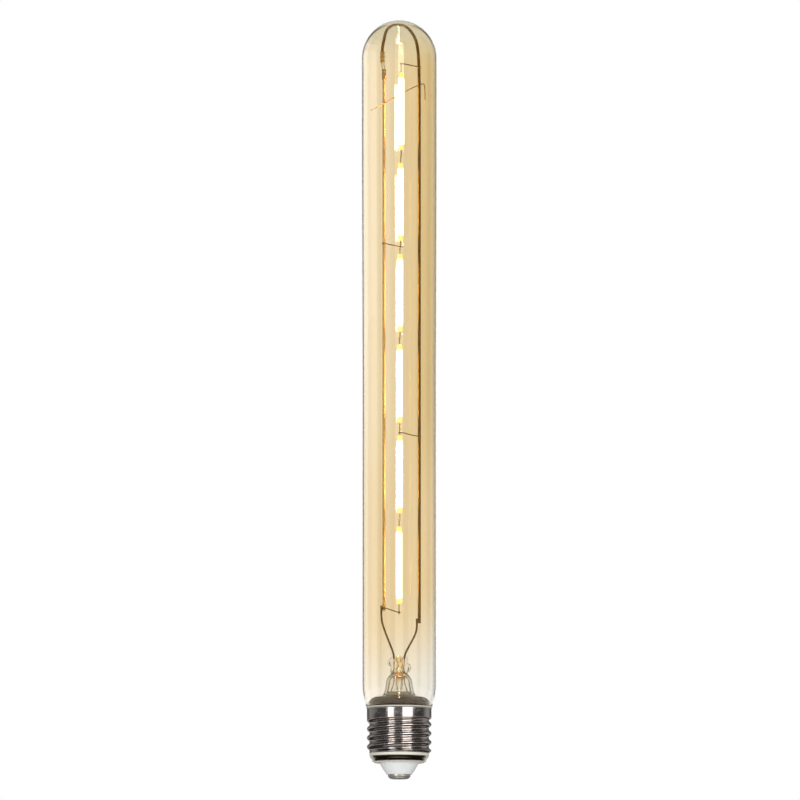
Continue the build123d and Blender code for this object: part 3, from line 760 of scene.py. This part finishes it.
def thread_tree():
    """Geometry nodes that press a right-hand knuckle thread into a plain turned shell."""
    sizes = ["Pitch", "Crest Radius", "Root Radius", "Arc Radius", "Crest Height", "Low", "Low Full",
             "High Start", "High"]
    tree, given, wanted = new_group(
        "Knuckle Thread", "GeometryNodeTree",
        [("Geometry", "NodeSocketGeometry"), *((name, "NodeSocketFloat") for name in sizes),
         ("Material", "NodeSocketMaterial")],
        [("Geometry", "NodeSocketGeometry")])
    place = parts_of(tree, tree.nodes.new("GeometryNodeInputPosition").outputs[0])
    radius = calculate(tree, "SQRT", calculate(
        tree, "ADD", calculate(tree, "POWER", place["X"], 2.0), calculate(tree, "POWER", place["Y"], 2.0)))
    turns = calculate(tree, "DIVIDE", calculate(tree, "ARCTAN2", place["Y"], place["X"]), 2 * pi)
    crest = calculate(tree, "MULTIPLY_ADD", turns, given["Pitch"], given["Crest Height"])
    half = calculate(tree, "MULTIPLY", given["Pitch"], 0.5)
    offset = calculate(tree, "SUBTRACT", place["Z"], crest)
    away = calculate(tree, "ABSOLUTE", calculate(
        tree, "WRAP", offset, calculate(tree, "MULTIPLY", half, -1.0), half))

    def bulge(distance):
        inside = calculate(tree, "SUBTRACT", calculate(tree, "POWER", given["Arc Radius"], 2.0),
                           calculate(tree, "POWER", distance, 2.0))
        return calculate(tree, "SUBTRACT", given["Arc Radius"], calculate(tree, "SQRT", inside))

    ridge = calculate(tree, "SUBTRACT", given["Crest Radius"], bulge(away))
    groove = calculate(tree, "ADD", given["Root Radius"], bulge(calculate(tree, "SUBTRACT", half, away)))
    on_ridge = calculate(tree, "LESS_THAN", away, calculate(tree, "MULTIPLY", half, 0.5))
    knuckle = calculate(tree, "MULTIPLY_ADD", on_ridge, calculate(tree, "SUBTRACT", ridge, groove), groove)
    into_collar = eased(tree, place["Z"], given["High Start"], given["High"])
    rest = calculate(tree, "SUBTRACT", given["Crest Radius"], knuckle)
    blended = calculate(tree, "MULTIPLY_ADD", rest, into_collar, knuckle)
    out_of_shell = eased(tree, place["Z"], given["Low"], given["Low Full"])
    proud = calculate(tree, "SUBTRACT", blended, given["Root Radius"])
    push = calculate(tree, "MULTIPLY", proud, out_of_shell)
    outer = calculate(tree, "GREATER_THAN", radius, calculate(tree, "SUBTRACT", given["Root Radius"], 0.0001))
    below = calculate(tree, "LESS_THAN", radius, calculate(tree, "ADD", given["Root Radius"], 0.0001))
    share = calculate(tree, "DIVIDE", calculate(tree, "MULTIPLY", push, calculate(
        tree, "MULTIPLY", outer, below)), radius)
    move = tree.nodes.new("ShaderNodeCombineXYZ")
    tree.links.new(calculate(tree, "MULTIPLY", place["X"], share), move.inputs["X"])
    tree.links.new(calculate(tree, "MULTIPLY", place["Y"], share), move.inputs["Y"])
    shift = tree.nodes.new("GeometryNodeSetPosition")
    tree.links.new(given["Geometry"], shift.inputs["Geometry"])
    tree.links.new(move.outputs[0], shift.inputs["Offset"])
    end_tree(tree, shift.outputs["Geometry"], given["Material"], wanted["Geometry"])
    return tree


def end_tree(tree, geometry, material, wanted):
    """Realizes instances and sets the material, as the last nodes of a geometry tree."""
    real = tree.nodes.new("GeometryNodeRealizeInstances")
    finish = tree.nodes.new("GeometryNodeSetMaterial")
    tree.links.new(geometry, real.inputs["Geometry"])
    tree.links.new(real.outputs["Geometry"], finish.inputs["Geometry"])
    tree.links.new(material, finish.inputs["Material"])
    tree.links.new(finish.outputs["Geometry"], wanted)


def run_tree(piece, tree, values, name):
    """Runs a geometry tree on a piece with its named inputs set, and returns the plain result."""
    modifier = piece.modifiers.new(tree.name, "NODES")
    modifier.node_group = tree
    for item in tree.interface.items_tree:
        if item.in_out == "INPUT" and item.name in values:
            modifier[item.identifier] = values[item.name]
    return applied(piece, name)


def cap(material):
    """The formed shell: rim, collar, thread and turned-in end, one sheet thick at its ends."""
    collar_in = COLLAR_R - SHEET
    outline = [
        *arc_through((RIM_R, RIM_TOP_Z), (13.2, 28.85), (COLLAR_R, COLLAR_TOP_Z), 8),
        *straight((COLLAR_R, COLLAR_TOP_Z), (COLLAR_R, COLLAR_LOW_Z), 6),
        (COLLAR_R, COLLAR_LOW_Z),
        *straight((THREAD_ROOT_R, COLLAR_LOW_Z - 0.06), (THREAD_ROOT_R, CURL_TOP_Z + 0.05), 130),
        (CURL_R, CURL_TOP_Z),
        *arc_through((CURL_R, 9.5), (11.5, 8.4), (11.05, 7.9), 8),
        *arc_through((11.05, 7.9), (10.6, 6.95), (SHELL_END_R, SHELL_END_Z), 8),
        (SHELL_END_R, SHELL_END_Z), (SHELL_HOLE_R, SHELL_END_Z), (SHELL_HOLE_R, SHELL_END_Z + SHEET),
        (SHELL_END_R, SHELL_END_Z + SHEET + 0.1), (10.7, 8.1), (BORE_R, 9.5), (BORE_R, 25.2),
        (collar_in, 25.9), (collar_in, COLLAR_TOP_Z), (RIM_R - SHEET, RIM_TOP_Z),
    ]
    plain = lathe("cap_plain", outline, 192)
    values = {
        "Pitch": THREAD_PITCH * MM, "Crest Radius": THREAD_CREST_R * MM, "Root Radius": THREAD_ROOT_R * MM,
        "Arc Radius": THREAD_ARC_R * MM, "Crest Height": THREAD_CREST_Z * MM, "Low": (CURL_TOP_Z + 0.1) * MM,
        "Low Full": (CURL_TOP_Z + 1.5) * MM, "High Start": (COLLAR_LOW_Z - 1.3) * MM,
        "High": (COLLAR_LOW_Z - 0.1) * MM, "Material": material,
    }
    piece = run_tree(plain, thread_tree(), values, "screw_shell")
    dress(piece, material, "cap_plating", "cap_shell")


# Welds


def weld_tree():
    """Geometry nodes that put a small flattened bead on each point."""
    tree, given, wanted = new_group(
        "Weld Beads", "GeometryNodeTree",
        [("Geometry", "NodeSocketGeometry"), ("Bead Radius", "NodeSocketFloat"), ("Seed", "NodeSocketInt"),
         ("Material", "NodeSocketMaterial")],
        [("Geometry", "NodeSocketGeometry")])
    bead = tree.nodes.new("GeometryNodeMeshIcoSphere")
    bead.inputs["Subdivisions"].default_value = 3
    tree.links.new(given["Bead Radius"], bead.inputs["Radius"])
    size = tree.nodes.new("FunctionNodeRandomValue")
    size.data_type = "FLOAT_VECTOR"
    size.inputs[0].default_value = (0.85, 0.75, 0.8)
    size.inputs[1].default_value = (1.15, 1.0, 1.25)
    tree.links.new(given["Seed"], size.inputs["Seed"])
    spread = tree.nodes.new("GeometryNodeInstanceOnPoints")
    tree.links.new(given["Geometry"], spread.inputs["Points"])
    tree.links.new(bead.outputs["Mesh"], spread.inputs["Instance"])
    tree.links.new(size.outputs[0], spread.inputs["Scale"])
    end_tree(tree, spread.outputs["Instances"], given["Material"], wanted["Geometry"])
    return tree


def weld_beads(material):
    """A bead where each tie wire and lead is welded on."""
    points = bpy.data.meshes.new("weld_points")
    points.from_pydata([Vector(place) * MM for place in WELD_PLACES], [], [])
    values = {"Bead Radius": BEAD_R * MM, "Seed": 4, "Material": material}
    piece = run_tree(linked("weld_points", points), weld_tree(), values, "weld_beads")
    piece.data.shade_smooth()
    dress(piece, material, "nickel_wire")


def wire_tree():
    """Geometry nodes that draw a round wire with closed ends along a curve."""
    tree, given, wanted = new_group(
        "Drawn Wire", "GeometryNodeTree",
        [("Geometry", "NodeSocketGeometry"), ("Wire Radius", "NodeSocketFloat"), ("Sides", "NodeSocketInt"),
         ("Material", "NodeSocketMaterial")],
        [("Geometry", "NodeSocketGeometry")])
    section = tree.nodes.new("GeometryNodeCurvePrimitiveCircle")
    tree.links.new(given["Sides"], section.inputs["Resolution"])
    tree.links.new(given["Wire Radius"], section.inputs["Radius"])
    drawn = tree.nodes.new("GeometryNodeCurveToMesh")
    drawn.inputs["Fill Caps"].default_value = True
    tree.links.new(given["Geometry"], drawn.inputs["Curve"])
    tree.links.new(section.outputs["Curve"], drawn.inputs["Profile Curve"])
    end_tree(tree, drawn.outputs["Mesh"], given["Material"], wanted["Geometry"])
    return tree


def wire(tree, name, route, diameter, material, slot, node):
    """A smooth wire or rod that stands for a solid made of straight runs and arcs."""
    curve = bpy.data.curves.new(name, "CURVE")
    curve.dimensions = "3D"
    curve.resolution_u = 12
    spline = curve.splines.new("NURBS")
    spline.points.add(len(route) - 1)
    for point, place in zip(spline.points, route):
        point.co = (*(Vector(place) * MM), 1)
    spline.order_u = 3
    spline.use_endpoint_u = True
    values = {"Wire Radius": diameter / 2 * MM, "Sides": 20, "Material": material}
    piece = run_tree(linked(f"{name}_path", curve), tree, values, name)
    piece.data.shade_smooth()
    piece.data.set_sharp_from_angle(angle=radians(50))
    dress(piece, material, slot, node)


def crimped_ferrule(node, material):
    """A ferrule with two rolled crimps and rounded ends, where its solid is a plain tube."""
    low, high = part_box(node)
    centre_x = (low.x + high.x) / 2 / MM
    radius = (high.x - low.x) / 2 / MM
    bottom, top = low.z / MM, high.z / MM
    bore = radius - FERRULE_WALL
    end = radius - FERRULE_ROUNDING
    steps = 36
    outline = [(bore, bottom), (end, bottom)]
    for i in range(steps + 1):
        share = i / steps
        crimp = CRIMP_DEPTH * max(0.0, sin(2 * pi * share * CRIMP_COUNT - pi / 2)) ** 2
        height = bottom + FERRULE_ROUNDING + (top - bottom - 2 * FERRULE_ROUNDING) * share
        outline.append((radius - crimp, height))
    outline += [(end, top), (bore, top)]
    piece = lathe(f"crimped_{node}", outline, 40, centre_x)
    dress(piece, material, "ferrule_metal", node)


# Room, light and camera


def direction_light(tree, bands, around, height):
    """Brightness by direction: a ramp round the horizon that fades overhead and underfoot."""
    ramp = tree.nodes.new("ShaderNodeValToRGB")
    stops = ramp.color_ramp.elements
    brightest = max(level for angle, level in bands)
    for i, (angle, level) in enumerate(bands):
        place = (angle + 180) / 360
        stop = stops[i] if i < 2 else stops.new(place)
        stop.position = place
        stop.color = (level / brightest, level / brightest, level / brightest, 1)
    tree.links.new(around, ramp.inputs["Fac"])
    upright = calculate(tree, "ABSOLUTE", height)
    fade = eased(tree, upright, *GLOSS_FADE, 1.0, GLOSS_OVERHEAD)
    return calculate(tree, "MULTIPLY", calculate(tree, "MULTIPLY", ramp.outputs["Color"], brightest), fade)


def flags(tree, turns, height):
    """White all round with dark flags between the main views, low enough to leave the top white."""
    step = 1 / FLAG_COUNT
    beside = calculate(tree, "ABSOLUTE", calculate(tree, "WRAP", turns, -step / 2, step / 2))
    dark = eased(tree, beside, FLAG_EDGE[0] / 360, FLAG_EDGE[1] / 360)
    low = eased(tree, calculate(tree, "ABSOLUTE", height), *FLAG_TOP)
    return calculate(tree, "MULTIPLY_ADD", calculate(tree, "MULTIPLY", dark, low), -FLAG_DEPTH, 1.0)


def studio_world():
    """White to the camera and straight through the glass, with dark flags beside the white.
    Gloss sees a dim room with two faint boxes."""
    world = bpy.data.worlds.new("Studio")
    bpy.context.scene.world = world
    world.use_nodes = True
    tree = world.node_tree
    background = tree.nodes["Background"]
    direction = parts_of(tree, tree.nodes.new("ShaderNodeTexCoord").outputs["Generated"])
    toward = calculate(tree, "MULTIPLY", direction["Y"], -1.0)
    turns = calculate(tree, "DIVIDE", calculate(tree, "ARCTAN2", direction["X"], toward), 2 * pi)
    around = calculate(tree, "ADD", turns, 0.5)
    path = tree.nodes.new("ShaderNodeLightPath").outputs
    through = calculate(tree, "MULTIPLY", path["Is Transmission Ray"], flags(tree, turns, direction["Z"]))
    seen = calculate(tree, "MAXIMUM", path["Is Camera Ray"], through)
    soft = calculate(tree, "MULTIPLY", path["Is Diffuse Ray"], SOFT_LIGHT)
    glossy = direction_light(tree, GLOSS_BANDS, around, direction["Z"])
    gloss = calculate(tree, "MULTIPLY", path["Is Glossy Ray"], glossy)
    strength = calculate(tree, "MAXIMUM", seen, calculate(tree, "MAXIMUM", soft, gloss))
    background.inputs["Color"].default_value = (1, 1, 1, 1)
    tree.links.new(strength, background.inputs["Strength"])


def lamp(name, place, target, size, radiance, glossy=True, colour=WHITE, only=()):
    """A soft rectangular lamp of a given radiance, not seen itself, for all pieces or for only a few."""
    data = bpy.data.lights.new(name, "AREA")
    data.shape = "RECTANGLE"
    data.size, data.size_y = size
    data.energy = radiance * pi * size[0] * size[1]
    data.color = colour
    rig = bpy.data.objects.new(name, data)
    bpy.context.scene.collection.objects.link(rig)
    rig.location = place
    rig.rotation_euler = (Vector(target) - Vector(place)).to_track_quat("-Z", "Y").to_euler()
    rig.visible_camera = False
    rig.visible_transmission = False
    rig.visible_glossy = glossy
    if only:
        group = bpy.data.collections.new(f"{name}_only")
        for piece in only:
            group.objects.link(piece)
        rig.light_linking.receiver_collection = group


def floor():
    """A pale floor well below the bulb. It keeps the shadow to the eye, is white through the glass,
    and is dark to gloss at a middle distance."""
    mesh = bpy.data.meshes.new("floor")
    half = FLOOR_SIZE / 2
    mesh.from_pydata([(-half, -half, FLOOR_Z), (half, -half, FLOOR_Z), (half, half, FLOOR_Z),
                      (-half, half, FLOOR_Z)], [], [(0, 1, 2, 3)])
    material, tree, shader = new_material("Pale Floor")
    shader.inputs["Roughness"].default_value = 0.9
    shader.inputs["Specular IOR Level"].default_value = 0.0
    path = tree.nodes.new("ShaderNodeLightPath").outputs
    through = path["Is Transmission Ray"]
    ring = zone(tree, length_of(tree, object_place(tree, stretch=(1, 1, 0))), FLOOR_RING)
    dark = calculate(tree, "MULTIPLY", ring, path["Is Glossy Ray"])
    colour = layered(tree, (*FLOOR_COLOUR, 1), (dark, FLOOR_TO_GLOSS), (through, (0, 0, 0)))
    tree.links.new(colour, shader.inputs["Base Color"])
    lift = calculate(tree, "MULTIPLY", path["Is Camera Ray"], FLOOR_LIFT)
    tree.links.new(calculate(tree, "MAXIMUM", lift, through), shader.inputs["Emission Strength"])
    shader.inputs["Emission Color"].default_value = (1, 1, 1, 1)
    mesh.materials.append(material)
    linked("floor", mesh)


def camera():
    """The photograph's view: far off, a little below the bulb, with the frame filled alike."""
    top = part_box("glass_envelope")[1].z
    pixels_a_metre = (LOW_PIXEL - TOP_PIXEL) / (top * cos(CAMERA_ELEVATION))
    data = bpy.data.cameras.new("camera")
    data.sensor_width = CAMERA_SENSOR
    data.lens = pixels_a_metre * CAMERA_DISTANCE * data.sensor_width / IMAGE_SIZE
    data.clip_end = CAMERA_REACH
    rig = bpy.data.objects.new("camera", data)
    bpy.context.scene.collection.objects.link(rig)
    middle = IMAGE_SIZE / 2
    aim_z = (LOW_PIXEL - middle) / (LOW_PIXEL - TOP_PIXEL) * top
    aim = Vector(((middle - AXIS_PIXEL) / pixels_a_metre, 0, aim_z))
    back = Vector((0, -cos(CAMERA_ELEVATION), sin(CAMERA_ELEVATION)))
    rig.location = aim + back * CAMERA_DISTANCE
    rig.rotation_euler = (-back).to_track_quat("-Z", "Y").to_euler()
    bpy.context.scene.camera = rig


def studio():
    camera()
    studio_world()
    floor()
    for name, place, target, size, radiance in FILLS:
        lamp(name, place, target, size, radiance, glossy=False)


def cap_lights(pieces):
    """Two soft boxes that the cap alone mirrors, as two bright strips down its front."""
    target = (0, 0, BOX_CENTRE_Z)
    for name, turn, width, radiance in CAP_BOXES:
        side = BOX_DISTANCE * sin(radians(turn))
        front = -BOX_DISTANCE * cos(radians(turn))
        lamp(name, (side, front, BOX_CENTRE_Z), target, (width, BOX_HEIGHT), radiance, only=pieces)


def glass_lights(glass):
    """Lamps for the glass alone: panels that veil its left side and its edges, and the small
    lights that it mirrors near its top."""
    across, depth = PANEL_PLACE
    for i, radiance in enumerate(PANEL_STACK):
        height = PANEL_LOW_Z + PANEL_SIZE[1] * i + PANEL_SIZE[1] / 2
        lamp(f"left_panel_{i + 1}", (across, depth, height), (0, depth, height), PANEL_SIZE, radiance,
             only=glass)
    for name, place, target, size, radiance, colour in GLASS_STRIPS:
        lamp(name, place, target, size, radiance, colour=colour, only=glass)


def render_settings():
    scene = bpy.context.scene
    scene.view_settings.view_transform = "Standard"
    scene.cycles.max_bounces = 32
    scene.cycles.transmission_bounces = 32
    scene.cycles.transparent_max_bounces = 32
    scene.cycles.caustics_reflective = False
    scene.cycles.caustics_refractive = False
    scene.cycles.sample_clamp_indirect = 90.0


def finish_nodes(tarnish, scuffs):
    """Gives every solid that stays its own finish, by the record's material slots."""
    finishes = {}
    for slot, name, colours, roughness, options in METALS:
        finishes[slot] = tarnished_metal(tarnish, scuffs, name, colours, roughness, **options)
    for slot, name, colours, roughness, options in PLAIN_FINISHES:
        finishes[slot] = matt_finish(tarnish, name, colours, roughness, **options)
    for node, piece in frame["nodes"].items():
        slot = slot_of(node)
        if slot in finishes:
            assign(piece, finishes[slot])
    return finishes


def slot_of(node):
    """The material slot that the record gives a node."""
    for entry in frame["record"]["subparts"]:
        if entry["node"] == node:
            return entry["material_slot"]
    return None


def assign(piece, material):
    for entry in piece.material_slots:
        entry.material = material


def filament_glow():
    for i in range(1, FILAMENT_COUNT + 1):
        node = f"filament_{i}_phosphor"
        low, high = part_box(node)
        assign(frame["nodes"][node], lit_phosphor(i, low, high))


def rods_and_wires(finishes):
    """The right rod with its arch, the two leads and the centring spring, as smooth wires."""
    tree = wire_tree()
    rod, lead, spring = finishes["rod_metal"], finishes["nickel_wire"], finishes["spring_wire"]
    wire(tree, "right_rod_and_arch", RIGHT_ROD_ROUTE, ROD_D, rod, "rod_metal", "right_support_rod")
    wire(tree, "left_lead", LEFT_LEAD_ROUTE, LEAD_D, lead, "nickel_wire", "left_lead_wire")
    wire(tree, "right_lead", RIGHT_LEAD_ROUTE, LEAD_D, lead, "nickel_wire", "right_lead_wire")
    wire(tree, "centring_spring", SPRING_ROUTE, SPRING_D, spring, "spring_wire", "centring_spring_wire")


def bulb():
    """Finishes the solids that stay, and puts finer pieces in the place of the others."""
    tarnish = tarnish_group()
    scuffs = scuff_group()
    finishes = finish_nodes(tarnish, scuffs)
    filament_glow()
    stem_glass = clear_glass()
    for node in ("stem_exhaust_tube", "insulating_link"):
        assign(frame["nodes"][node], stem_glass)
    left_rod = tarnished_metal(tarnish, scuffs, *LEFT_ROD, metallic=LEFT_ROD_METALLIC)
    assign(frame["nodes"]["left_support_rod"], left_rod)
    ferrule = tarnished_metal(tarnish, scuffs, *FERRULES)
    for node in ("upper_ferrule", "lower_ferrule"):
        crimped_ferrule(node, ferrule)
    glass_tube(amber_glass(tarnish))
    stem(stem_glass)
    cap(cap_plating(tarnish, scuffs))
    weld_beads(finishes["nickel_wire"])
    rods_and_wires(finishes)


render_settings()
studio()
bulb()
cap_lights([bpy.data.objects["screw_shell"], frame["nodes"]["cap_insulator"],
            frame["nodes"]["centre_contact"]])
glass_lights([bpy.data.objects["amber_glass_tube"], bpy.data.objects["stem_glass"]])
